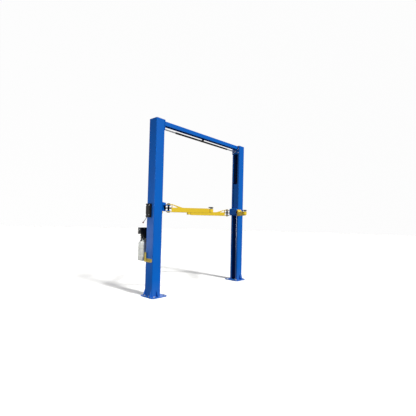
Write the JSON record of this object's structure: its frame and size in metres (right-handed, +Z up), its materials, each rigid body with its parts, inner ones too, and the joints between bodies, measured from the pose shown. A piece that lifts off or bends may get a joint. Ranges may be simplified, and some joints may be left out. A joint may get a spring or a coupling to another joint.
{
  "type": "two post car lift",
  "caption": "Two post car lift: slotted columns joined by an overhead beam, sliding carriages with telescoping swing arms and pads, lock release, power unit.",
  "frame": {"origin": "on the floor, midway between the two columns", "axes": "+X across the bay from the power column to the off column, +Y towards the rear of the bay, +Z up"},
  "size_m": [3.4727, 1.9574, 3.861],
  "materials": {
    "blue_paint": "blue powder coat on steel plate",
    "yellow_paint": "yellow powder coat on steel tube",
    "black_paint": "black paint on steel",
    "plain_steel": "zinc plated or ground steel",
    "chromed_rod": "hard chromed ground rod",
    "tank_plastic": "translucent off-white polyethylene",
    "black_plastic": "black moulded plastic",
    "guide_plastic": "black wear plastic",
    "black_rubber": "black moulded rubber",
    "bar_foam": "black closed-cell foam sleeve",
    "knob_plastic": "dark red ball knob"
  },
  "bodies": {
    "frame": {"base_plates": "blue_paint", "gussets": "blue_paint", "power_column": "blue_paint", "off_column": "blue_paint", "cap_plates": "blue_paint", "head_plates": "blue_paint", "crossbeam": "blue_paint", "bar_brackets": "plain_steel", "limit_switch": "black_plastic", "cylinder_rods": "chromed_rod", "latch_covers": "black_plastic", "latch_mounts": "plain_steel", "off_latch_dog": "plain_steel", "power_unit_bracket": "black_paint", "pump_block": "black_paint", "motor": "black_paint", "control_box": "black_plastic", "fluid_tank": "tank_plastic", "adapter_rack": "yellow_paint"},
    "power_carriage": {"power_carriage": "blue_paint", "power_slide_blocks": "guide_plastic", "power_cylinder": "black_paint", "power_arm_pins": "plain_steel", "power_restraint_pawls": "black_paint", "power_lock_ladder": "plain_steel"},
    "off_carriage": {"off_carriage": "blue_paint", "off_slide_blocks": "guide_plastic", "off_cylinder": "black_paint", "off_arm_pins": "plain_steel", "off_restraint_pawls": "black_paint", "off_lock_ladder": "plain_steel"},
    "power_front_arm": {"power_front_arm": "yellow_paint", "power_front_gear": "black_paint"},
    "power_front_inner_arm": {"power_front_inner_arm": "yellow_paint", "power_front_pad_stem": "plain_steel", "power_front_pad": "black_rubber"},
    "power_rear_arm": {"power_rear_arm": "yellow_paint", "power_rear_gear": "black_paint"},
    "power_rear_inner_arm": {"power_rear_inner_arm": "yellow_paint", "power_rear_pad_stem": "plain_steel", "power_rear_pad": "black_rubber"},
    "off_front_arm": {"off_front_arm": "yellow_paint", "off_front_gear": "black_paint"},
    "off_front_inner_arm": {"off_front_inner_arm": "yellow_paint", "off_front_pad_stem": "plain_steel", "off_front_pad": "black_rubber"},
    "off_rear_arm": {"off_rear_arm": "yellow_paint", "off_rear_gear": "black_paint"},
    "off_rear_inner_arm": {"off_rear_inner_arm": "yellow_paint", "off_rear_pad_stem": "plain_steel", "off_rear_pad": "black_rubber"},
    "release_lever": {"release_lever": "plain_steel", "lever_knob": "knob_plastic", "power_latch_dog": "plain_steel"},
    "shutoff_bar": {"shutoff_bar": "plain_steel", "bar_padding": "bar_foam"}
  },
  "joints": [
    {"name": "power_lift", "type": "slide", "parent": "frame", "child": "power_carriage", "axis": [0, 0, 1], "range_m": [-1.76, 0]},
    {"name": "off_lift", "type": "slide", "parent": "frame", "child": "off_carriage", "axis": [0, 0, 1], "range_m": [-1.76, 0]},
    {"name": "power_front_swing", "type": "hinge", "parent": "power_carriage", "child": "power_front_arm", "pos_m": [-1.31, -0.203, 1.9175], "axis": [0, 0, 1], "range_deg": [-45, 45]},
    {"name": "power_rear_swing", "type": "hinge", "parent": "power_carriage", "child": "power_rear_arm", "pos_m": [-1.31, 0.203, 1.9175], "axis": [0, 0, 1], "range_deg": [-45, 45]},
    {"name": "off_front_swing", "type": "hinge", "parent": "off_carriage", "child": "off_front_arm", "pos_m": [1.31, -0.203, 1.9175], "axis": [0, 0, 1], "range_deg": [-45, 45]},
    {"name": "off_rear_swing", "type": "hinge", "parent": "off_carriage", "child": "off_rear_arm", "pos_m": [1.31, 0.203, 1.9175], "axis": [0, 0, 1], "range_deg": [-45, 45]},
    {"name": "power_front_reach", "type": "slide", "parent": "power_front_arm", "child": "power_front_inner_arm", "axis": [0.7071, -0.7071, 0], "range_m": [0, 0.4]},
    {"name": "power_rear_reach", "type": "slide", "parent": "power_rear_arm", "child": "power_rear_inner_arm", "axis": [0.7071, 0.7071, 0], "range_m": [0, 0.4]},
    {"name": "off_front_reach", "type": "slide", "parent": "off_front_arm", "child": "off_front_inner_arm", "axis": [-0.7071, -0.7071, 0], "range_m": [0, 0.4]},
    {"name": "off_rear_reach", "type": "slide", "parent": "off_rear_arm", "child": "off_rear_inner_arm", "axis": [-0.7071, 0.7071, 0], "range_m": [0, 0.4]},
    {"name": "lock_release", "type": "hinge", "parent": "frame", "child": "release_lever", "pos_m": [-1.658, 0.094, 1.76], "axis": [0, -1, 0], "range_deg": [0, 15]},
    {"name": "bar_lift", "type": "hinge", "parent": "frame", "child": "shutoff_bar", "pos_m": [-1.365, 0, 3.69], "axis": [0, -1, 0], "range_deg": [0, 0.8]}
  ],
  "couplings": [
    {"joint": "off_lift", "follows": "power_lift", "ratio": 1}
  ]
}
